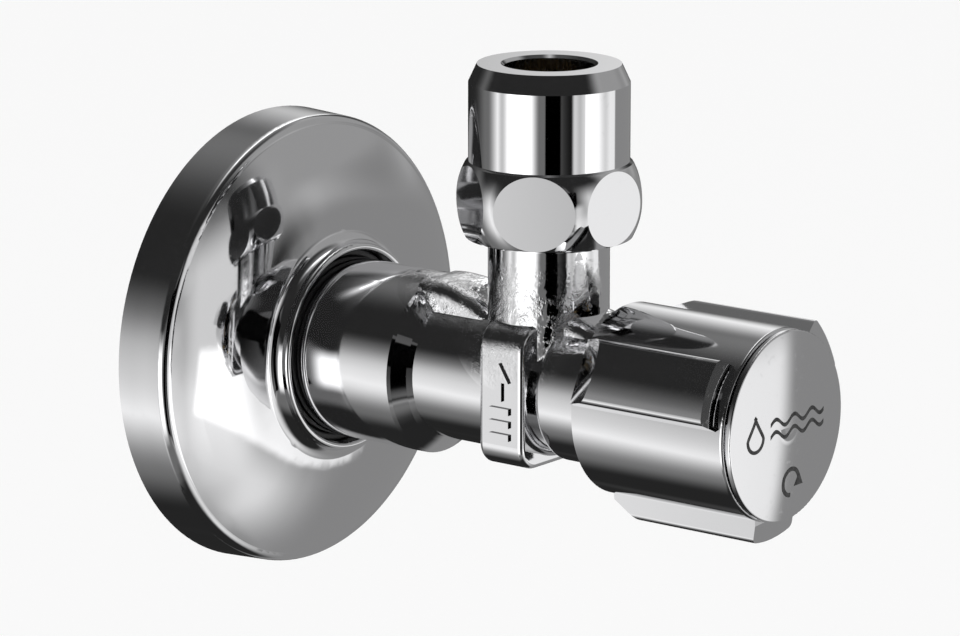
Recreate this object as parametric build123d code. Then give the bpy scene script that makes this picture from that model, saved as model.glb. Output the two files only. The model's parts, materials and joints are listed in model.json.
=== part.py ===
from build123d import *
import os

# Angle stop valve with a wall rosette, a winged knob and a compression outlet.
# Millimetres, +Z up. The wall is the plane Y = 0 and the valve stands out of it along -Y.
# The origin is on the valve's axis in the wall plane. Turned pieces are drawn upright, with
# their height measured from the wall, and laid down along -Y by lay_down().

# Driving dimensions ---------------------------------------------------------------------

# fits between pieces
RUNNING_GAP = 0.05          # radial, between pieces that turn or slide in each other
STATIC_GAP = 0.03           # between pieces that are screwed or pressed together
AXIAL_GAP = 0.1             # between faces that must not touch

# inlet: G1/2 thread into the wall, and the plain barrel that carries the rosette
INLET_THREAD_RADIUS = 10.34 # crests at the small end of the G1/2 tolerance
INLET_THREAD_PITCH = 1.814
INLET_THREAD_LENGTH = 11.0
INLET_THREAD_START = 0.5    # how far the thread reaches out of the wall
SEAL_RING_WIDTH = 2.0
SEAL_RING_THICKNESS = 0.9   # depth of its groove
SEAL_RING_SETBACK = 0.4     # how far the ring lies below the barrel's surface
BARREL_RADIUS = 10.5
BARREL_END = 26.2
SHOULDER_LENGTH = 2.1
INLET_BORE_RADIUS = 8.0
INLET_BORE_DEPTH = 9.0      # from the wall to the cartridge's stop
FEED_BORE_RADIUS = 6.0

# forged body between the barrel and the headwork
BODY_RADIUS = 8.35
OUTLET_DISTANCE = 41.5      # wall to the outlet's axis
HUB_WIDTH = 18.0
HUB_LENGTH = 6.2
HUB_TOP = 8.1
HUB_BOTTOM = 8.4
HUB_CORNER = 2.8
WAIST_RADIUS = 7.4
WAIST_LENGTH = 1.0
COLLAR_RADIUS = 8.25
BODY_END = 57.0
WEB_THICKNESS = 8.6
MARK_HEIGHT = 0.3
MARK_WIDTH = 0.75
MARK_PITCH = 1.5
ARROW_LENGTH = 4.4

# seat and chamber
SEAT_BORE_RADIUS = 4.0
SEAT_LAND = 1.0             # width of the raised seat lip
SEAT_FACE = 35.0
SEAT_LIP_HEIGHT = 1.0
CHAMBER_RADIUS = 6.3

# outlet: neck, G3/8 thread and socket for a 10 mm tube
NECK_RADIUS = 6.93
NECK_BORE_RADIUS = 4.4
OUTLET_THREAD_RADIUS = 8.331
OUTLET_THREAD_PITCH = 1.337
OUTLET_THREAD_START = 17.4
NECK_TOP = 27.0
TUBE_BORE_RADIUS = 5.15
TUBE_STOP = 20.0
CONE_DEPTH = 1.4

# compression nut
NUT_BOTTOM = 16.8
NUT_HEIGHT = 20.15
NUT_FLATS = 19.0            # across the flats
NUT_TURN = -152.7           # where one flat faces, from +X towards +Y
HEX_HEIGHT = 9.1
HEX_BARREL_RADIUS = 10.58
NUT_SLEEVE_RADIUS = 9.16
NUT_CHAMFER = 0.97
NUT_CHAMFER_HEIGHT = 2.1
NUT_THREAD_DEPTH = 11.7
RING_HEIGHT = 5.4
RING_WALL = 1.1

# rosette
ROSETTE_RADIUS = 27.0
ROSETTE_RIM = 6.7
ROSETTE_DRAFT = 0.3
ROSETTE_EDGE = 1.1
ROSETTE_SHEET = 0.8
COLLAR_LIP_RADIUS = 12.25
COLLAR_LIP_HEIGHT = 12.95
COLLAR_HEIGHT = 1.9         # straight part of the collar behind the lip
GRIP_RING_WIDTH = 2.4
GRIP_RING_SETBACK = 1.7

# check cartridge in the inlet
CHECK_REAR = -9.5
CHECK_SEAT_RADIUS = 3.8
CHECK_SEAT_LENGTH = 3.6
CHECK_WALL = 1.6
POPPET_RADIUS = 5.0
POPPET_STEM_RADIUS = 1.2
CHECK_SPRING_RADIUS = 2.5
CHECK_SPRING_WIRE = 0.5
CHECK_SPRING_TURNS = 5
RETAINER_THICKNESS = 1.6
ORING_WIRE = 0.95

# headwork
BONNET_DEPTH = 8.5          # how far the bonnet screws into the body
BONNET_FLATS = 16.0
BONNET_HEX_HEIGHT = 4.0
BONNET_NECK_RADIUS = 5.2
BONNET_TOP = 64.5
GASKET_THICKNESS = 0.8
PISTON_RADIUS = 4.6
PISTON_HEAD_RADIUS = 5.7
PISTON_HEAD_HEIGHT = 1.6
PISTON_WAIST_RADIUS = 3.5
PISTON_END = 52.2
PISTON_TRAVEL = 4.5
PISTON_THREAD_RADIUS = 2.5
WASHER_THICKNESS = 1.6
SPINDLE_RADIUS = 3.0
SPINDLE_COLLAR_RADIUS = 4.2
SPINDLE_COLLAR_HEIGHT = 1.2
SPINDLE_END = 69.8
SPINDLE_SQUARE = 4.2
CLIP_THICKNESS = 0.6

# knob
KNOB_REAR = 53.0
KNOB_FRONT = 73.55
KNOB_RADIUS = 10.9
KNOB_WALL = 1.25
WING_RADIUS = 13.45
WING_WIDTH = 7.5
WING_FRONT = 72.1
WING_RAMP_START = 53.2
WING_RAMP_END = 57.2
WING_COUNT = 3
WING_ANGLE = -63.5          # first wing, from +Z towards +X
WING_EDGE = 0.75
KNOB_WEB_REAR = 70.0
KNOB_WEB_FRONT = 71.6
KNOB_EDGE = 0.4
INSERT_RADIUS = 6.4
SCREW_RADIUS = 1.9
SCREW_HEAD_RADIUS = 3.4
CAP_RADIUS = 10.78
CAP_RIM = 0.55
CAP_GAP = 0.35
CAP_DOME = 0.45
CAP_SKIRT_WALL = 0.9


# Helpers --------------------------------------------------------------------------------

def turned(*section):
    """A solid turned about Z from (radius, height) corners."""
    line = Polyline(*[(radius, height) for radius, height in section], close=True)
    return revolve(make_face(Plane.XZ * line), Axis.Z)


def tube(outer, inner, low, high):
    return turned((inner, low), (outer, low), (outer, high), (inner, high))


def disc(radius, low, high):
    rod = Cylinder(radius, high - low, align=(Align.CENTER, Align.CENTER, Align.MIN))
    return Pos(0, 0, low) * rod


def hexagon(flats, low, high):
    outline = RegularPolygon(flats / 2, 6, major_radius=False)
    return Pos(0, 0, low) * extrude(outline, high - low)


def o_ring(radius, wire, height):
    return Pos(0, 0, height) * Torus(radius, wire / 2)


def lay_down(piece):
    """Lay an upright piece along -Y, so that its height is the distance from the wall."""
    return Rot(90, 0, 0) * piece


def at_outlet(piece):
    return Pos(0, -OUTLET_DISTANCE, 0) * piece


def thread_depth(pitch):
    return 0.64 * pitch


def threaded_rod(crest, pitch, low, high):
    """A rod with ridges at the thread's pitch. The ridges are rings, without the helix's lead."""
    root = crest - thread_depth(pitch)
    half_crest, half_root = 0.12 * pitch, 0.42 * pitch
    section = [(0, low), (root, low)]
    for turn in range(int((high - low) / pitch)):
        middle = low + (turn + 0.5) * pitch
        section += [(root, middle - half_root), (crest, middle - half_crest),
                    (crest, middle + half_crest), (root, middle + half_root)]
    return turned(*section, (root, high), (0, high))


def save(name, piece):
    export_step(piece, f"parts/{name}.step")


# Body -----------------------------------------------------------------------------------

def inlet_bore_ends():
    return INLET_THREAD_START - INLET_THREAD_LENGTH, INLET_BORE_DEPTH


def seal_groove():
    return INLET_THREAD_START, INLET_THREAD_START + SEAL_RING_WIDTH


def hub_span():
    """Distances from the wall to the hub's rear and front faces."""
    return OUTLET_DISTANCE - HUB_LENGTH / 2, OUTLET_DISTANCE + HUB_LENGTH / 2


def body_axis_solid():
    groove_rear, groove_front = seal_groove()
    groove_radius = BARREL_RADIUS - SEAL_RING_THICKNESS
    waist_rear = hub_span()[1]
    waist_front = waist_rear + WAIST_LENGTH
    body = disc(groove_radius, groove_rear - 0.5, groove_front + 0.5)
    body += disc(BARREL_RADIUS, groove_front, BARREL_END)
    shoulder_end = BARREL_END + SHOULDER_LENGTH
    step = BARREL_RADIUS - BODY_RADIUS
    body += turned((0, BARREL_END), (BARREL_RADIUS, BARREL_END),
                   (BARREL_RADIUS - 0.15 * step, BARREL_END + 0.3),
                   (BODY_RADIUS + 0.25 * step, shoulder_end - 0.5),
                   (BODY_RADIUS, shoulder_end), (0, shoulder_end))
    body += disc(BODY_RADIUS, shoulder_end, OUTLET_DISTANCE)
    body += disc(WAIST_RADIUS, OUTLET_DISTANCE, waist_front + 0.5)
    collar = disc(COLLAR_RADIUS, waist_front, BODY_END)
    return body + fillet(collar.edges().sort_by(Axis.Z)[0], 0.7)


def hub():
    outline = RectangleRounded(HUB_WIDTH, HUB_TOP + HUB_BOTTOM, HUB_CORNER)
    block = extrude(outline, HUB_LENGTH)
    block = fillet(block.edges().group_by(Axis.Z)[0] + block.edges().group_by(Axis.Z)[-1], 0.6)
    return Pos(0, (HUB_TOP - HUB_BOTTOM) / 2, hub_span()[0]) * block


def web(rear, front, rear_top, front_top, rise):
    """A forged web along the top of the body, between the barrel or collar and the neck."""
    middle = ((rear + front) / 2, (rear_top + front_top) / 2 + rise)
    outline = Line((rear, 0), (rear, rear_top))
    outline += ThreePointArc((rear, rear_top), middle, (front, front_top))
    outline += Line((front, front_top), (front, 0)) + Line((front, 0), (rear, 0))
    plate = extrude(make_face(outline), WEB_THICKNESS / 2, both=True)
    top_edges = plate.edges().filter_by(GeomType.CIRCLE)
    plate = fillet(top_edges, 1.6)
    return Plane(origin=(0, 0, 0), x_dir=(0, -1, 0), z_dir=(-1, 0, 0)) * plate


def cast_marks():
    """Raised marks on the hub's left pad: a flow arrow pointing up and three short bars."""
    half_width = 0.22 * HUB_LENGTH
    half_shaft = MARK_WIDTH / 2
    foot = -0.1 * ARROW_LENGTH
    tip = foot + ARROW_LENGTH
    head = foot + 0.5 * ARROW_LENGTH
    marks = Polygon((half_shaft, foot), (half_shaft, head), (half_width, head), (0, tip), (-half_width, head),
                    (-half_shaft, head), (-half_shaft, foot), align=None)
    for row in range(3):
        marks += Pos(0, foot - 0.75 * MARK_PITCH - row * MARK_PITCH) * Rectangle(2 * half_width, MARK_WIDTH)
    solid = extrude(marks, MARK_HEIGHT + 0.4)
    face = Plane(origin=(-HUB_WIDTH / 2 + 0.4, -OUTLET_DISTANCE, 0), x_dir=(0, -1, 0), z_dir=(-1, 0, 0))
    return face * solid


def neck():
    root = OUTLET_THREAD_RADIUS - thread_depth(OUTLET_THREAD_PITCH)
    shank = disc(NECK_RADIUS, 0, OUTLET_THREAD_START + 0.5)
    thread = threaded_rod(OUTLET_THREAD_RADIUS, OUTLET_THREAD_PITCH, OUTLET_THREAD_START, NECK_TOP)
    return at_outlet(shank + thread)


def neck_bore():
    cone_mouth = TUBE_BORE_RADIUS + CONE_DEPTH
    bore = disc(NECK_BORE_RADIUS, 0, TUBE_STOP) + disc(TUBE_BORE_RADIUS, TUBE_STOP, NECK_TOP)
    cone = turned((0, NECK_TOP - CONE_DEPTH), (TUBE_BORE_RADIUS, NECK_TOP - CONE_DEPTH),
                  (cone_mouth, NECK_TOP), (0, NECK_TOP))
    return at_outlet(bore + cone)


def axis_bore():
    rear, stop = inlet_bore_ends()
    lip_foot = SEAT_FACE - SEAT_LIP_HEIGHT
    bore = disc(INLET_BORE_RADIUS, rear, stop) + disc(FEED_BORE_RADIUS, stop, BARREL_END)
    bore += disc(SEAT_BORE_RADIUS, BARREL_END, SEAT_FACE)
    chamber = disc(CHAMBER_RADIUS, lip_foot, BODY_END)
    return bore + (chamber - disc(SEAT_BORE_RADIUS + SEAT_LAND, lip_foot, SEAT_FACE))


def valve_body():
    rear = inlet_bore_ends()[0]
    thread = threaded_rod(INLET_THREAD_RADIUS, INLET_THREAD_PITCH, rear, INLET_THREAD_START)
    outside = lay_down(body_axis_solid() + thread + hub()) + neck()
    outside += web(BARREL_END - 0.5, OUTLET_DISTANCE - 5, BARREL_RADIUS - 0.1, HUB_TOP - 0.3, 1.0)
    outside += web(OUTLET_DISTANCE + 5, BODY_END - 5.5, HUB_TOP + 1.1, COLLAR_RADIUS - 0.4, 0.2)
    outside += cast_marks()
    return outside - lay_down(axis_bore()) - neck_bore()


def thread_seal_ring():
    rear, front = seal_groove()
    return lay_down(tube(BARREL_RADIUS - SEAL_RING_SETBACK, BARREL_RADIUS - SEAL_RING_THICKNESS + STATIC_GAP,
                         rear + STATIC_GAP, front - STATIC_GAP))


# Rosette --------------------------------------------------------------------------------

def rosette():
    rim_front = ROSETTE_RADIUS - ROSETTE_DRAFT
    dome_foot = (rim_front - ROSETTE_EDGE, ROSETTE_RIM + 0.15)
    collar_foot = COLLAR_LIP_HEIGHT - COLLAR_HEIGHT
    dome_top = (COLLAR_LIP_RADIUS + 1.6, collar_foot - 0.35)
    dome_rise = (dome_foot[1] + dome_top[1]) / 2 + 0.75
    dome_middle = ((dome_foot[0] + dome_top[0]) / 2, dome_rise)
    sheet = ROSETTE_SHEET
    inner_lip = COLLAR_LIP_RADIUS - sheet
    outside = Line((ROSETTE_RADIUS, 0), (rim_front, ROSETTE_RIM - ROSETTE_EDGE))
    outside += ThreePointArc((rim_front, ROSETTE_RIM - ROSETTE_EDGE),
                             (rim_front - 0.3 * ROSETTE_EDGE, ROSETTE_RIM - 0.22 * ROSETTE_EDGE), dome_foot)
    outside += ThreePointArc(dome_foot, dome_middle, dome_top)
    collar_start = (COLLAR_LIP_RADIUS, collar_foot + 1.0)
    lip_height = COLLAR_LIP_HEIGHT - sheet / 2
    outside += ThreePointArc(dome_top, (COLLAR_LIP_RADIUS + 0.45, collar_foot + 0.15), collar_start)
    outside += Line(collar_start, (COLLAR_LIP_RADIUS, lip_height))
    outside += ThreePointArc((COLLAR_LIP_RADIUS, lip_height),
                             (COLLAR_LIP_RADIUS - sheet / 2, COLLAR_LIP_HEIGHT), (inner_lip, lip_height))
    outside += Line((inner_lip, lip_height), (inner_lip, collar_foot - sheet))
    inner_top = (dome_top[0], dome_top[1] - sheet - 0.1)
    inner_foot = (dome_foot[0] - 0.3 * sheet, dome_foot[1] - sheet)
    outside += Line((inner_lip, collar_foot - sheet), inner_top)
    outside += ThreePointArc(inner_top, (dome_middle[0], dome_rise - sheet), inner_foot)
    outside += Line(inner_foot, (rim_front - sheet, ROSETTE_RIM - 2 * sheet))
    outside += Line((rim_front - sheet, ROSETTE_RIM - 2 * sheet), (ROSETTE_RADIUS - sheet, 0))
    outside += Line((ROSETTE_RADIUS - sheet, 0), (ROSETTE_RADIUS, 0))
    return lay_down(revolve(make_face(Plane.XZ * outside), Axis.Z))


def rosette_ring():
    front = COLLAR_LIP_HEIGHT - GRIP_RING_SETBACK
    ring = tube(COLLAR_LIP_RADIUS - ROSETTE_SHEET - RUNNING_GAP, BARREL_RADIUS + RUNNING_GAP,
                front - GRIP_RING_WIDTH, front)
    return lay_down(fillet(ring.edges(), 0.3))


# Check cartridge ------------------------------------------------------------------------

def check_housing():
    outer = INLET_BORE_RADIUS - STATIC_GAP
    bore = outer - CHECK_WALL
    seat = CHECK_REAR + CHECK_SEAT_LENGTH
    front = INLET_BORE_DEPTH - STATIC_GAP
    housing = tube(outer, bore, CHECK_REAR, front) + tube(bore + 0.5, CHECK_SEAT_RADIUS, CHECK_REAR, seat)
    middle = (CHECK_REAR + front) / 2
    return lay_down(housing - tube(outer + 1, outer - ORING_WIRE, middle - 0.6, middle + 0.6))


def check_oring():
    middle = (CHECK_REAR + INLET_BORE_DEPTH - STATIC_GAP) / 2
    radius = INLET_BORE_RADIUS - STATIC_GAP - ORING_WIRE / 2
    return lay_down(o_ring(radius, ORING_WIRE - 0.05, middle))


def poppet_rear():
    return CHECK_REAR + CHECK_SEAT_LENGTH + STATIC_GAP


def retainer_rear():
    return INLET_BORE_DEPTH - STATIC_GAP - 2 * RETAINER_THICKNESS


def poppet_seal():
    low = poppet_rear()
    return lay_down(tube(POPPET_RADIUS - 0.1, POPPET_STEM_RADIUS + 0.5 + STATIC_GAP, low, low + 0.8))


def check_poppet():
    low = poppet_rear() + 0.8 + STATIC_GAP
    shank = POPPET_STEM_RADIUS + 0.5
    head = disc(POPPET_RADIUS, low, low + 1.0) + disc(shank, low - 0.8, low)
    nose = turned((0, low - 2.4), (shank + 0.9, low - 0.9), (shank, low - 0.84), (shank, low - 0.7),
                  (0, low - 0.7))
    stem = disc(POPPET_STEM_RADIUS, low, retainer_rear() + 2 * RETAINER_THICKNESS + 1)
    return lay_down(head + nose + stem)


def check_retainer():
    low = retainer_rear()
    outer = INLET_BORE_RADIUS - STATIC_GAP - CHECK_WALL - STATIC_GAP
    ring = tube(outer, outer - 1.2, low, low + RETAINER_THICKNESS)
    guide = POPPET_STEM_RADIUS + RUNNING_GAP
    boss = tube(guide + 1.1, guide, low, low + RETAINER_THICKNESS)
    arm_start = guide + 0.6
    for index in range(3):
        arm = Pos((arm_start + outer - 0.6) / 2, 0, low) * Box(
            outer - 0.6 - arm_start, 1.2, RETAINER_THICKNESS, align=(Align.CENTER, Align.CENTER, Align.MIN))
        ring += Rot(0, 0, 120 * index) * arm
    return lay_down(ring + boss)


def check_spring():
    low = poppet_rear() + 0.8 + STATIC_GAP + 1.0 + CHECK_SPRING_WIRE / 2 + STATIC_GAP
    high = retainer_rear() - CHECK_SPRING_WIRE / 2 - STATIC_GAP
    height = high - low
    path = Pos(0, 0, low) * Helix(height / CHECK_SPRING_TURNS, height, CHECK_SPRING_RADIUS)
    section = Plane(origin=path @ 0, z_dir=path % 0) * Circle(CHECK_SPRING_WIRE / 2)
    return lay_down(sweep(section, path=path, is_frenet=True))


# Headwork -------------------------------------------------------------------------------

def bonnet_rear():
    return BODY_END - BONNET_DEPTH


def hex_span():
    low = BODY_END + GASKET_THICKNESS + STATIC_GAP
    return low, low + BONNET_HEX_HEIGHT


def bearing_rear():
    """Where the bonnet narrows to the spindle's bearing."""
    return hex_span()[1] - 3.0


def bonnet():
    hex_low, hex_high = hex_span()
    outer = CHAMBER_RADIUS - STATIC_GAP
    solid = disc(outer, bonnet_rear(), hex_low) + disc(BONNET_NECK_RADIUS, hex_high, BONNET_TOP)
    flange = hexagon(BONNET_FLATS, hex_low, hex_high) & disc(BONNET_FLATS / 2 + 0.7, hex_low, hex_high)
    solid += flange
    solid -= disc(PISTON_RADIUS + RUNNING_GAP, bonnet_rear(), bearing_rear())
    solid -= disc(SPINDLE_RADIUS + RUNNING_GAP, bearing_rear(), BONNET_TOP)
    return lay_down(solid)


def bonnet_seal():
    return lay_down(tube(BONNET_FLATS / 2, CHAMBER_RADIUS + STATIC_GAP, BODY_END + STATIC_GAP,
                         BODY_END + GASKET_THICKNESS))


def washer_span():
    low = SEAT_FACE + STATIC_GAP
    return low, low + WASHER_THICKNESS


def seat_washer():
    low, high = washer_span()
    return lay_down(tube(PISTON_HEAD_RADIUS - 0.2, SCREW_RADIUS + STATIC_GAP, low, high))


def washer_screw():
    low, high = washer_span()
    screw = disc(SCREW_RADIUS, low - 0.5, high + 4.0)
    screw += disc(SEAT_BORE_RADIUS - 0.9, low - 1.6, low - STATIC_GAP)
    slot = Pos(0, 0, low - 1.6) * Box(2 * SEAT_BORE_RADIUS, 0.7, 1.0)
    return lay_down(screw - slot)


def piston_head_span():
    low = washer_span()[1] + STATIC_GAP
    return low, low + PISTON_HEAD_HEIGHT


def piston_groove():
    return PISTON_END - 1.9


def valve_piston():
    low, head_top = piston_head_span()
    guide = bonnet_rear() - 0.6
    piston = disc(PISTON_HEAD_RADIUS, low, head_top) + disc(PISTON_WAIST_RADIUS, head_top, guide)
    piston += disc(PISTON_RADIUS, guide, PISTON_END)
    piston -= tube(PISTON_RADIUS + 1, PISTON_RADIUS - 0.75, piston_groove() - 0.45, piston_groove() + 0.45)
    piston -= disc(PISTON_THREAD_RADIUS + RUNNING_GAP, spindle_tip() - PISTON_TRAVEL - 0.5, PISTON_END)
    piston -= disc(SCREW_RADIUS + STATIC_GAP, low, low + 4.2)
    return lay_down(piston)


def piston_oring():
    return lay_down(o_ring(PISTON_RADIUS - 0.37, 0.72, piston_groove()))


def spindle_tip():
    return PISTON_END - 5.2


def spindle_collar_front():
    return bearing_rear() - AXIAL_GAP


def spindle_grooves():
    middle = (bearing_rear() + BONNET_TOP) / 2
    return middle - 1.2, middle + 1.2


def clip_rear():
    return BONNET_TOP + AXIAL_GAP


def spindle():
    collar_front = spindle_collar_front()
    collar_rear = collar_front - SPINDLE_COLLAR_HEIGHT
    clip_groove = clip_rear()
    square_rear = clip_groove + CLIP_THICKNESS + 0.4
    rod = disc(PISTON_THREAD_RADIUS, spindle_tip(), collar_rear)
    rod += disc(SPINDLE_COLLAR_RADIUS, collar_rear, collar_front)
    rod += disc(SPINDLE_RADIUS, collar_front, square_rear)
    rod += Pos(0, 0, square_rear) * Box(SPINDLE_SQUARE, SPINDLE_SQUARE, SPINDLE_END - square_rear,
                                        align=(Align.CENTER, Align.CENTER, Align.MIN))
    for height in spindle_grooves():
        rod -= tube(SPINDLE_RADIUS + 1, SPINDLE_RADIUS - 0.65, height - 0.4, height + 0.4)
    rod -= tube(SPINDLE_RADIUS + 1, SPINDLE_RADIUS - 0.6, clip_groove, clip_groove + CLIP_THICKNESS)
    return lay_down(rod - disc(SCREW_RADIUS - 0.2, SPINDLE_END - 4.5, SPINDLE_END))


def spindle_oring(index):
    return lay_down(o_ring(SPINDLE_RADIUS - 0.31, 0.62, spindle_grooves()[index]))


def spindle_clip():
    low = clip_rear() + 0.02
    inner = SPINDLE_RADIUS - 0.6 + STATIC_GAP
    ring = tube(SPINDLE_RADIUS + 1.2, inner, low, low + CLIP_THICKNESS - 0.04)
    mouth = Pos(SPINDLE_RADIUS, 0, low) * Box(2 * SPINDLE_RADIUS, 1.6 * inner, 4)
    return lay_down(ring - mouth)


# Knob -----------------------------------------------------------------------------------

def wing():
    """One raised grip along the knob, pointing along +X, with a ramp at its rear end."""
    half_width = WING_WIDTH / 2
    foot = 0.75 * KNOB_RADIUS
    crest = WING_RADIUS + 0.6
    side = Polygon((foot, WING_RAMP_START), (KNOB_RADIUS + 0.05, WING_RAMP_START),
                   (crest, WING_RAMP_END + 0.6), (crest, WING_FRONT - 0.1),
                   (KNOB_RADIUS, WING_FRONT + 0.45), (foot, WING_FRONT + 0.45), align=None)
    block = extrude(Plane.XZ * side, half_width, both=True)
    crown = disc(WING_RADIUS, WING_RAMP_START - 1, WING_FRONT + 1)
    block = block & crown
    top = block.faces().filter_by(GeomType.CYLINDER).sort_by(Axis.X)[-1]
    return fillet(top.edges().filter_by(GeomType.LINE), WING_EDGE)


def wing_turns():
    """Turns about the upright axis that bring the wing on +X to its places round the knob."""
    return [90 - WING_ANGLE - index * 360 / WING_COUNT for index in range(WING_COUNT)]


def knob():
    shell = disc(KNOB_RADIUS, KNOB_REAR, KNOB_FRONT)
    shell = fillet(shell.edges().sort_by(Axis.Z)[-1], KNOB_EDGE)
    grip = wing()
    for turn in wing_turns():
        shell += Rot(0, 0, turn) * grip
    cavity = KNOB_RADIUS - KNOB_WALL
    shell -= disc(cavity, KNOB_REAR, KNOB_WEB_REAR) + disc(cavity, KNOB_WEB_FRONT, KNOB_FRONT)
    return lay_down(shell - disc(SCREW_RADIUS + STATIC_GAP, KNOB_WEB_REAR, KNOB_WEB_FRONT))


def insert_rear():
    return clip_rear() + CLIP_THICKNESS + 0.4


def knob_insert():
    low, high = insert_rear(), KNOB_WEB_REAR - STATIC_GAP
    square = SPINDLE_SQUARE + 2 * STATIC_GAP
    hub_block = disc(INSERT_RADIUS, low, high) - Pos(0, 0, low) * Box(
        square, square, high - low, align=(Align.CENTER, Align.CENTER, Align.MIN))
    reach = KNOB_RADIUS - KNOB_WALL - STATIC_GAP
    for index in range(4):
        rib = Pos((INSERT_RADIUS - 0.4 + reach) / 2, 0, low) * Box(
            reach - INSERT_RADIUS + 0.4, 1.4, high - low, align=(Align.CENTER, Align.CENTER, Align.MIN))
        hub_block += Rot(0, 0, 45 + 90 * index) * rib
    return lay_down(hub_block & disc(reach, low, high))


def knob_screw():
    head = KNOB_WEB_FRONT + STATIC_GAP
    screw = disc(SCREW_RADIUS, SPINDLE_END + STATIC_GAP, head) + disc(SCREW_HEAD_RADIUS, head, head + 1.2)
    screw += disc(SCREW_RADIUS - 0.2 - STATIC_GAP, SPINDLE_END - 4, SPINDLE_END + STATIC_GAP)
    slot = Pos(0, 0, head + 1.2) * (Box(4.4, 0.8, 1.4) + Box(0.8, 4.4, 1.4))
    return lay_down(screw - slot)


def cap_dome(radius, height):
    """A shallow spherical crown, CAP_DOME high, on a disc of the given radius."""
    sphere = (radius ** 2 + CAP_DOME ** 2) / (2 * CAP_DOME)
    ball = Pos(0, 0, height + CAP_DOME - sphere) * Sphere(sphere)
    return ball & disc(radius, height - 0.1, height + 2 * CAP_DOME)


def knob_cap():
    rim_rear = KNOB_FRONT + CAP_GAP
    rim_front = rim_rear + CAP_RIM
    edge = 0.18
    skirt = KNOB_RADIUS - KNOB_WALL - STATIC_GAP
    outline = Line((0, rim_rear), (CAP_RADIUS, rim_rear))
    outline += Line((CAP_RADIUS, rim_rear), (CAP_RADIUS, rim_front - edge))
    outline += ThreePointArc((CAP_RADIUS, rim_front - edge),
                             (CAP_RADIUS - 0.3 * edge, rim_front - 0.3 * edge),
                             (CAP_RADIUS - edge, rim_front))
    outline += Line((CAP_RADIUS - edge, rim_front), (0, rim_front)) + Line((0, rim_front), (0, rim_rear))
    cap = revolve(make_face(Plane.XZ * outline), Axis.Z) + cap_dome(CAP_RADIUS - edge, rim_front)
    return lay_down(cap + tube(skirt, skirt - CAP_SKIRT_WALL, KNOB_WEB_FRONT + 0.4, rim_rear + 0.1))


# Compression union ----------------------------------------------------------------------

def nut_outside():
    top = NUT_BOTTOM + NUT_HEIGHT
    hex_low, hex_top = NUT_BOTTOM + 0.4, NUT_BOTTOM + HEX_HEIGHT - 0.2
    middle = (hex_low + hex_top) / 2
    outline = Line((0, NUT_BOTTOM), (NUT_FLATS / 2 - 1.1, NUT_BOTTOM))
    outline += Line((NUT_FLATS / 2 - 1.1, NUT_BOTTOM), (NUT_FLATS / 2, hex_low))
    outline += ThreePointArc((NUT_FLATS / 2, hex_low), (HEX_BARREL_RADIUS, middle), (NUT_FLATS / 2, hex_top))
    outline += Line((NUT_FLATS / 2, hex_top), (NUT_SLEEVE_RADIUS, NUT_BOTTOM + HEX_HEIGHT))
    sleeve_top = (NUT_SLEEVE_RADIUS, top - NUT_CHAMFER_HEIGHT)
    outline += Line((NUT_SLEEVE_RADIUS, NUT_BOTTOM + HEX_HEIGHT), sleeve_top)
    outline += Line(sleeve_top, (NUT_SLEEVE_RADIUS - NUT_CHAMFER, top))
    outline += Line((NUT_SLEEVE_RADIUS - NUT_CHAMFER, top), (0, top)) + Line((0, top), (0, NUT_BOTTOM))
    barrel = revolve(make_face(Plane.XZ * outline), Axis.Z)
    return barrel & (Rot(0, 0, NUT_TURN + 30) * hexagon(NUT_FLATS, NUT_BOTTOM, top))


def nut_cone():
    """Heights between which the nut's inside narrows to the tube hole."""
    low = NUT_BOTTOM + NUT_THREAD_DEPTH
    return low, low + (OUTLET_THREAD_RADIUS + RUNNING_GAP - TUBE_BORE_RADIUS)


def compression_nut():
    top = NUT_BOTTOM + NUT_HEIGHT
    bore = OUTLET_THREAD_RADIUS + RUNNING_GAP
    cone_low, cone_high = nut_cone()
    mouth = 0.35
    inside = turned((0, NUT_BOTTOM), (bore + mouth, NUT_BOTTOM), (bore, NUT_BOTTOM + mouth),
                    (bore, cone_low), (TUBE_BORE_RADIUS, cone_high), (TUBE_BORE_RADIUS, top - mouth),
                    (TUBE_BORE_RADIUS + mouth, top), (0, top))
    return at_outlet(nut_outside() - inside)


def compression_ring():
    low = NECK_TOP - CONE_DEPTH + 0.25
    high = low + RING_HEIGHT
    outer = TUBE_BORE_RADIUS + RING_WALL
    slope = RING_WALL - 0.45
    ring = turned((TUBE_BORE_RADIUS, low), (TUBE_BORE_RADIUS + 0.2, low), (outer, low + slope + 0.4),
                  (outer, high - slope - 0.4), (TUBE_BORE_RADIUS + 0.4, high), (TUBE_BORE_RADIUS, high))
    return at_outlet(ring)


os.makedirs("parts", exist_ok=True)

save("valve_body", valve_body())
save("thread_seal_ring", thread_seal_ring())
save("rosette", rosette())
save("rosette_ring", rosette_ring())
save("check_housing", check_housing())
save("check_oring", check_oring())
save("check_poppet", check_poppet())
save("poppet_seal", poppet_seal())
save("check_spring", check_spring())
save("check_retainer", check_retainer())
save("bonnet", bonnet())
save("bonnet_seal", bonnet_seal())
save("valve_piston", valve_piston())
save("piston_oring", piston_oring())
save("seat_washer", seat_washer())
save("washer_screw", washer_screw())
save("spindle", spindle())
save("spindle_oring_rear", spindle_oring(0))
save("spindle_oring_front", spindle_oring(1))
save("spindle_clip", spindle_clip())
save("knob", knob())
save("knob_insert", knob_insert())
save("knob_screw", knob_screw())
save("knob_cap", knob_cap())
save("compression_nut", compression_nut())
save("compression_ring", compression_ring())
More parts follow.
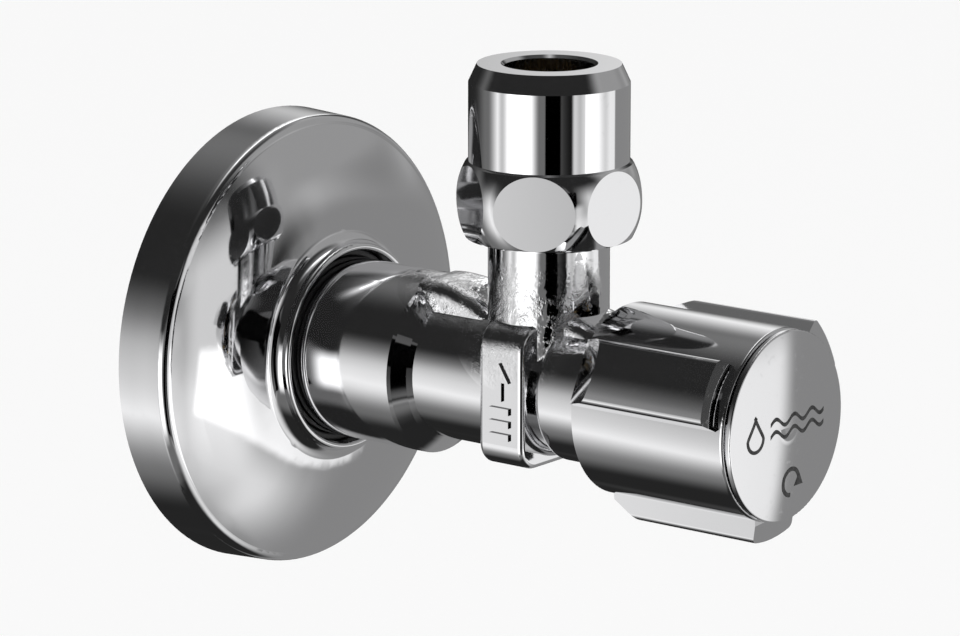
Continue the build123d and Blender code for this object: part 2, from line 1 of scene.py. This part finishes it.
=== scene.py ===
import json
import math
import bmesh
import bpy
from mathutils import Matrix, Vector


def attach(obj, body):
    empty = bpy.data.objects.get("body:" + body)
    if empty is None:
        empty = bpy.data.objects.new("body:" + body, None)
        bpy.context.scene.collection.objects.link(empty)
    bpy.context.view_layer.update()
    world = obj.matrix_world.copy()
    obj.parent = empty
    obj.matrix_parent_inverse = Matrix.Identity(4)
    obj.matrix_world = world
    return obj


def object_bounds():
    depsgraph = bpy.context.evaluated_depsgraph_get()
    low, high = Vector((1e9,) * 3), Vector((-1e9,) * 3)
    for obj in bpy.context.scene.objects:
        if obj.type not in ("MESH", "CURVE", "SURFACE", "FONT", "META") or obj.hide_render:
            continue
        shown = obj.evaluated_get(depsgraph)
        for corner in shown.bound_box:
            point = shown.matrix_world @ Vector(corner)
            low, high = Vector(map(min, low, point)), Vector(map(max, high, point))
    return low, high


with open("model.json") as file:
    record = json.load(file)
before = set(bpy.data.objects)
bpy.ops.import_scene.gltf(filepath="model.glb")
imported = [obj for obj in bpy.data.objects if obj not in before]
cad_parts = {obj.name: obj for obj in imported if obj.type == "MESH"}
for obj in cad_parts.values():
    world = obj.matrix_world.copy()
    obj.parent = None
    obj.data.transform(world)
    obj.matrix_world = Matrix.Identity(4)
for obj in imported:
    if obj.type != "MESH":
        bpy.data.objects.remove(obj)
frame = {"nodes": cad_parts, "record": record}
cad_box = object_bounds()

MM = 0.001


# Node helpers ---------------------------------------------------------------------------

class Finish:
    """A material being built: its node tree, its shader and short ways to add nodes."""

    def __init__(self, name):
        self.material = bpy.data.materials.new(name)
        self.material.use_nodes = True
        self.nodes = self.material.node_tree.nodes
        self.links = self.material.node_tree.links
        self.shader = self.nodes["Principled BSDF"]
        self.place = self.nodes.new("ShaderNodeTexCoord").outputs["Object"]

    def set(self, **values):
        for name, value in values.items():
            self.shader.inputs[name.replace("_", " ")].default_value = value

    def node(self, kind, **inputs):
        made = self.nodes.new(kind)
        for name, value in inputs.items():
            socket = made.inputs[name.replace("_", " ")]
            if hasattr(value, "links"):
                self.links.new(value, socket)
            else:
                socket.default_value = value
        return made

    def noise(self, scale, detail=4.0, roughness=0.55, distortion=0.0):
        made = self.node("ShaderNodeTexNoise", Vector=self.place, Scale=scale, Detail=detail,
                         Roughness=roughness, Distortion=distortion)
        return made.outputs["Fac"]

    def ramp(self, value, low, high, start, end):
        """value between low and high becomes start to end."""
        made = self.node("ShaderNodeMapRange", Value=value)
        for name, number in (("From Min", low), ("From Max", high), ("To Min", start), ("To Max", end)):
            made.inputs[name].default_value = number
        return made.outputs["Result"]

    def math(self, operation, a, b):
        made = self.nodes.new("ShaderNodeMath")
        made.operation = operation
        for socket, value in zip(made.inputs, (a, b)):
            if hasattr(value, "links"):
                self.links.new(value, socket)
            else:
                socket.default_value = value
        return made.outputs["Value"]

    def tint(self, value, first, second):
        made = self.nodes.new("ShaderNodeMix")
        made.data_type = "RGBA"
        self.links.new(value, made.inputs["Factor"])
        made.inputs["A"].default_value = (*first, 1)
        made.inputs["B"].default_value = (*second, 1)
        return made.outputs["Result"]

    def near(self, point, full, none):
        """1 within full mm of the point, fading to 0 at none mm."""
        made = self.node("ShaderNodeVectorMath", Vector=self.place)
        made.operation = "DISTANCE"
        made.inputs[1].default_value = [length * MM for length in point]
        return self.ramp(made.outputs["Value"], full * MM, none * MM, 1.0, 0.0)

    def bump(self, height, strength, distance, normal=None):
        made = self.node("ShaderNodeBump", Height=height, Strength=strength, Distance=distance)
        if normal is not None:
            self.links.new(normal, made.inputs["Normal"])
        return made.outputs["Normal"]

    def wire(self, socket, output):
        self.links.new(output, self.shader.inputs[socket])


# Finishes -------------------------------------------------------------------------------

def polished_chrome():
    """Mirror chrome: faint wipe marks in the gloss and a trace of waviness from polishing."""
    finish = Finish("polished_chrome")
    finish.set(Metallic=1.0, Base_Color=(0.86, 0.86, 0.87, 1))
    wipe = finish.noise(90, detail=6)
    dust = finish.noise(1400, detail=2)
    wiped = finish.ramp(wipe, 0.35, 0.75, 0.035, 0.075)
    dusty = finish.ramp(dust, 0.62, 0.72, 0.0, 0.05)
    finish.wire("Roughness", finish.math("ADD", wiped, dusty))
    finish.wire("Normal", finish.bump(finish.noise(45, detail=2), 0.05, 0.0004))
    return finish.material


def forged_chrome():
    """Chrome over a forging: mirror bright where it was turned, dented and scuffed where the arms meet."""
    finish = Finish("forged_chrome")
    finish.set(Metallic=1.0, Base_Color=(0.85, 0.85, 0.86, 1))
    at_hub = finish.near((0, -41.5, 7), 6.0, 11.0)
    at_shoulder = finish.near((0, -29, 9), 3.0, 7.5)
    rough = finish.math("MAXIMUM", at_hub, at_shoulder)
    scuffs = finish.ramp(finish.noise(260, detail=6, roughness=0.7), 0.5, 0.62, 0.0, 1.0)
    scuffs = finish.math("MULTIPLY", scuffs, rough)
    wipe = finish.ramp(finish.noise(90, detail=6), 0.35, 0.75, 0.04, 0.08)
    finish.wire("Roughness", finish.math("ADD", wipe, finish.math("MULTIPLY", scuffs, 0.16)))
    wave = finish.bump(finish.noise(60, detail=2), 0.08, 0.0004)
    dents = finish.math("MULTIPLY", finish.noise(330, detail=3), rough)
    dented = finish.bump(dents, 0.35, 0.0007, normal=wave)
    grain = finish.math("MULTIPLY", finish.noise(1500, detail=4, roughness=0.7), scuffs)
    finish.wire("Normal", finish.bump(grain, 0.6, 0.0002, normal=dented))
    return finish.material


def etched_chrome():
    """The dull grey of a symbol etched into the cap."""
    finish = Finish("etched_chrome")
    finish.set(Metallic=0.8)
    frost = finish.noise(1500, detail=4)
    shade = finish.ramp(frost, 0.35, 0.65, 0, 1)
    finish.wire("Base Color", finish.tint(shade, (0.05, 0.05, 0.05), (0.12, 0.12, 0.12)))
    finish.wire("Roughness", finish.ramp(frost, 0.3, 0.7, 0.4, 0.6))
    return finish.material


def plain_metal(name, light, dark, roughness, lines):
    """Turned, uncoated metal with fine tool marks and slight tarnish."""
    finish = Finish(name)
    finish.set(Metallic=1.0)
    tarnish = finish.noise(220, detail=5)
    finish.wire("Base Color", finish.tint(finish.ramp(tarnish, 0.35, 0.7, 0, 1), light, dark))
    finish.wire("Roughness", finish.ramp(tarnish, 0.3, 0.7, roughness, roughness + 0.15))
    finish.wire("Normal", finish.bump(finish.noise(lines, detail=2), 0.12, 0.0001))
    return finish.material


def moulded(name, light, dark, roughness, grain=1800):
    """Rubber, plastic or fibre: a matt skin with a fine grain."""
    finish = Finish(name)
    shade = finish.noise(300, detail=4)
    finish.wire("Base Color", finish.tint(finish.ramp(shade, 0.3, 0.7, 0, 1), light, dark))
    finish.wire("Roughness", finish.ramp(shade, 0.3, 0.7, roughness, roughness + 0.12))
    finish.wire("Normal", finish.bump(finish.noise(grain, detail=2), 0.15, 0.00008))
    return finish.material


def finishes():
    return {
        "chrome_polished": polished_chrome(),
        "chrome_body": forged_chrome(),
        "brass": plain_metal("machined_brass", (0.80, 0.60, 0.30), (0.66, 0.46, 0.20), 0.18, 2600),
        "steel": plain_metal("zinc_steel", (0.66, 0.66, 0.67), (0.52, 0.52, 0.54), 0.28, 2200),
        "black_rubber": moulded("black_rubber", (0.012, 0.012, 0.012), (0.03, 0.03, 0.03), 0.32),
        "fibre": moulded("red_fibre", (0.40, 0.10, 0.06), (0.30, 0.07, 0.05), 0.75),
        "white_plastic": moulded("white_plastic", (0.80, 0.80, 0.77), (0.72, 0.72, 0.69), 0.42),
        "blue_plastic": moulded("blue_plastic", (0.05, 0.16, 0.42), (0.04, 0.12, 0.34), 0.30),
        "black_plastic": moulded("black_plastic", (0.02, 0.02, 0.02), (0.035, 0.035, 0.035), 0.45),
    }


def dress_cad_nodes(by_slot):
    """Gives each carried-over node the finish of its slot."""
    slots = {part["node"]: part["material_slot"] for part in frame["record"]["subparts"]}
    for name, node in frame["nodes"].items():
        node.data.materials.clear()
        node.data.materials.append(by_slot[slots[name]])


# Symbols on the cap ---------------------------------------------------------------------

CAP_FRONT = 74.45           # where the cap's dome starts, from the wall, mm
CAP_DOME = 0.45             # how far it rises
CAP_DOME_RADIUS = 10.6
SYMBOL_RISE = 0.02          # how far a symbol stands out of the dome
SYMBOL_DEPTH = 0.25         # how far it reaches into the cap


def cap_surface(across, up):
    """Distance from the wall of the cap's face at a place on it."""
    return CAP_FRONT + CAP_DOME * (1 - (across ** 2 + up ** 2) / CAP_DOME_RADIUS ** 2)


def wrap_on_cap(name, mesh, finish):
    """Thickens a flat outline, drawn in mm on X and Y, and lays it on the cap's dome."""
    thick = bmesh.ops.extrude_face_region(mesh, geom=list(mesh.faces))
    back = {vert for vert in thick["geom"] if isinstance(vert, bmesh.types.BMVert)}
    for vert in mesh.verts:
        across, up = vert.co.x, vert.co.y
        out = cap_surface(across, up) + (-SYMBOL_DEPTH if vert in back else SYMBOL_RISE)
        vert.co = Vector((across, -out, up)) * MM
    bmesh.ops.recalc_face_normals(mesh, faces=mesh.faces)
    data = bpy.data.meshes.new(name)
    mesh.to_mesh(data)
    mesh.free()
    data.materials.append(finish)
    piece = bpy.data.objects.new(name, data)
    bpy.context.scene.collection.objects.link(piece)
    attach(piece, "handle")


def drop_symbol(finish):
    """The outline of a water drop."""
    mesh = bmesh.new()
    radius = 1.6
    bmesh.ops.create_circle(mesh, cap_ends=True, segments=32, radius=radius)
    for vert in mesh.verts:
        rise = max(0.0, vert.co.y / radius)
        vert.co.x *= 1 - 0.85 * rise ** 1.5
        vert.co.y += 1.1 * rise ** 2
    bmesh.ops.inset_region(mesh, faces=list(mesh.faces), thickness=0.42, use_boundary=True)
    middle = max(mesh.faces, key=lambda face: len(face.verts))
    bmesh.ops.delete(mesh, geom=[middle], context="FACES_ONLY")
    bmesh.ops.translate(mesh, verts=mesh.verts, vec=(-6.3, -0.3, 0))
    wrap_on_cap("cap_symbol_drop", mesh, finish)


def wave_symbol(name, height, finish):
    """One wavy line across the cap."""
    mesh = bmesh.new()
    bmesh.ops.create_grid(mesh, x_segments=60, y_segments=1, size=1)
    for vert in mesh.verts:
        along = 1.6 + 5.2 * vert.co.x
        vert.co = Vector((along, height + 0.45 * math.sin(1.8 * along) + 0.23 * vert.co.y, 0))
    wrap_on_cap(name, mesh, finish)


def turn_symbol(finish):
    """A curved arrow that shows the knob turns."""
    mesh = bmesh.new()
    centre = Vector((0.6, -6.4, 0))
    inner = mesh.verts.new(centre + Vector((1.25, 0, 0)))
    outer = mesh.verts.new(centre + Vector((1.75, 0, 0)))
    edge = mesh.edges.new((inner, outer))
    bmesh.ops.spin(mesh, geom=[inner, outer, edge], cent=centre, axis=(0, 0, 1),
                   angle=math.radians(270), steps=30)
    wrap_on_cap("cap_symbol_turn", mesh, finish)
    head = bmesh.new()
    bmesh.ops.create_circle(head, cap_ends=True, segments=3, radius=1.0)
    bmesh.ops.translate(head, verts=head.verts, vec=centre + Vector((1.5, -0.1, 0)))
    wrap_on_cap("cap_symbol_arrow_head", head, finish)


def add_cap_symbols():
    finish = etched_chrome()
    drop_symbol(finish)
    for index, height in enumerate((0.9, -0.5)):
        wave_symbol(f"cap_symbol_wave_{index}", height, finish)
    turn_symbol(finish)


# Studio ---------------------------------------------------------------------------------

VIEW_AZIMUTH, VIEW_ELEVATION = -52.417, 13.251     # where the camera stands
AIM_AZIMUTH, AIM_ELEVATION = -51.893, 13.052       # where it looks
CAMERA_DISTANCE = 567.4 * MM
CAMERA_CENTRE = Vector((0, -38 * MM, 5 * MM))
FIELD_OF_VIEW = math.radians(11.04)


def direction(azimuth, elevation):
    a, e = math.radians(azimuth), math.radians(elevation)
    return Vector((math.sin(a) * math.cos(e), -math.cos(a) * math.cos(e), math.sin(e)))


def add_camera():
    data = bpy.data.cameras.new("camera")
    data.sensor_width = 36.0
    data.angle = FIELD_OF_VIEW
    data.clip_start, data.clip_end = 0.01, 20
    camera = bpy.data.objects.new("camera", data)
    bpy.context.scene.collection.objects.link(camera)
    camera.location = CAMERA_CENTRE + CAMERA_DISTANCE * direction(VIEW_AZIMUTH, VIEW_ELEVATION)
    back = direction(AIM_AZIMUTH, AIM_ELEVATION)
    camera.rotation_mode = "QUATERNION"
    camera.rotation_quaternion = (-back).to_track_quat("-Z", "Y")
    bpy.context.scene.camera = camera


# What polished metal sees: where each soft box stands (azimuth, elevation), its half width and
# half height as sines, how soft its edge is, and how bright it is. A dark flag takes light away.
SOFT_BOXES = [
    (7, -3, 0.30, 0.40, 0.35, 0.67),       # panel ahead of the knob
    (15, -35, 0.36, 0.23, 0.51, 0.74),     # soft panel below it
    (27, -17, 0.45, 0.13, 0.05, 0.65),     # its bright band
    (77, -26, 0.60, 0.54, 0.16, 0.24),     # grey panel to the right
    (62, 31, 0.55, 0.38, 0.25, 0.31),      # grey panel above it
    (-96, -19, 0.34, 0.32, 0.30, 1.60),    # broad soft panel to the left
    (-131, -18, 0.02, 0.42, 0.60, 1.56),   # tall soft strip behind it
    (-102, -30, 0.89, 0.55, 0.22, 0.14),   # faint glow round both
    (126, 52, 0.02, 0.74, 0.35, 1.59),     # high strip behind, right
    (119, 53, 0.025, 0.56, 0.05, 1.35),    # narrow strip beside it
    (130, 64, 0.29, 0.40, 0.79, 0.32),     # glow round the strips
    (-26, -17, 0.24, 0.32, 0.17, 0.57),    # panel beside the camera
    (-38, -8, 0.32, 0.46, 0.08, -0.59),    # dark flag in front of it
]
ROOM_LIGHT = 0.02


def studio_world():
    """A white surround for the eye and for matt surfaces, and dark with soft boxes in reflections."""
    world = bpy.data.worlds.new("studio")
    bpy.context.scene.world = world
    world.use_nodes = True
    nodes, links = world.node_tree.nodes, world.node_tree.links
    nodes.clear()

    def add(kind, *inputs, **settings):
        made = nodes.new(kind)
        for name, value in settings.items():
            setattr(made, name, value)
        for socket, value in zip(made.inputs, inputs):
            if hasattr(value, "links"):
                links.new(value, socket)
            else:
                socket.default_value = value
        return made

    def dot(vector):
        product = add("ShaderNodeVectorMath", look, tuple(vector), operation="DOT_PRODUCT")
        return product.outputs["Value"]

    def inside(value, half, soft):
        size = add("ShaderNodeMath", value, operation="ABSOLUTE").outputs[0]
        fade = add("ShaderNodeMapRange", size, half + soft / 2, half - soft / 2, 0.0, 1.0,
                   interpolation_type="SMOOTHSTEP")
        return fade.outputs["Result"]

    look = add("ShaderNodeTexCoord").outputs["Generated"]
    total = ROOM_LIGHT
    for azimuth, elevation, half_width, half_height, soft, bright in SOFT_BOXES:
        centre = direction(azimuth, elevation)
        side = Vector((0, 0, 1)).cross(centre).normalized()
        top = centre.cross(side)
        facing = add("ShaderNodeMath", dot(centre), 0.0, operation="GREATER_THAN").outputs[0]
        across = inside(dot(side), half_width, soft)
        along = inside(dot(top), half_height, soft)
        box = add("ShaderNodeMath", across, along, operation="MULTIPLY").outputs[0]
        box = add("ShaderNodeMath", box, facing, operation="MULTIPLY").outputs[0]
        box = add("ShaderNodeMath", box, bright, operation="MULTIPLY").outputs[0]
        total = add("ShaderNodeMath", total, box, operation="ADD").outputs[0]
    total = add("ShaderNodeMath", total, 0.0, operation="MAXIMUM").outputs[0]
    path = add("ShaderNodeLightPath")
    strength = add("ShaderNodeMix", path.outputs["Is Glossy Ray"])
    strength.inputs["A"].default_value = 1.0
    links.new(total, strength.inputs["B"])
    background = add("ShaderNodeBackground", (1, 1, 1, 1))
    links.new(strength.outputs["Result"], background.inputs["Strength"])
    output = nodes.new("ShaderNodeOutputWorld")
    links.new(background.outputs["Background"], output.inputs["Surface"])


FLOOR_DROP = 150 * MM       # how far the floor lies below the valve
FLOOR_HALF_WIDTH = 6        # metres


def add_floor():
    low = cad_box[0].z - FLOOR_DROP
    mesh = bmesh.new()
    bmesh.ops.create_grid(mesh, x_segments=2, y_segments=2, size=FLOOR_HALF_WIDTH)
    bmesh.ops.translate(mesh, verts=mesh.verts, vec=(0, 0, low))
    data = bpy.data.meshes.new("floor")
    mesh.to_mesh(data)
    mesh.free()
    floor = bpy.data.objects.new("floor", data)
    bpy.context.scene.collection.objects.link(floor)
    paint = Finish("floor_paint")
    paint.set(Roughness=0.9, Base_Color=(0.97, 0.97, 0.97, 1))
    data.materials.append(paint.material)
    floor.visible_glossy = False


by_slot = finishes()
dress_cad_nodes(by_slot)
add_cap_symbols()
add_camera()
studio_world()
add_floor()
bpy.context.scene.view_settings.view_transform = "Standard"
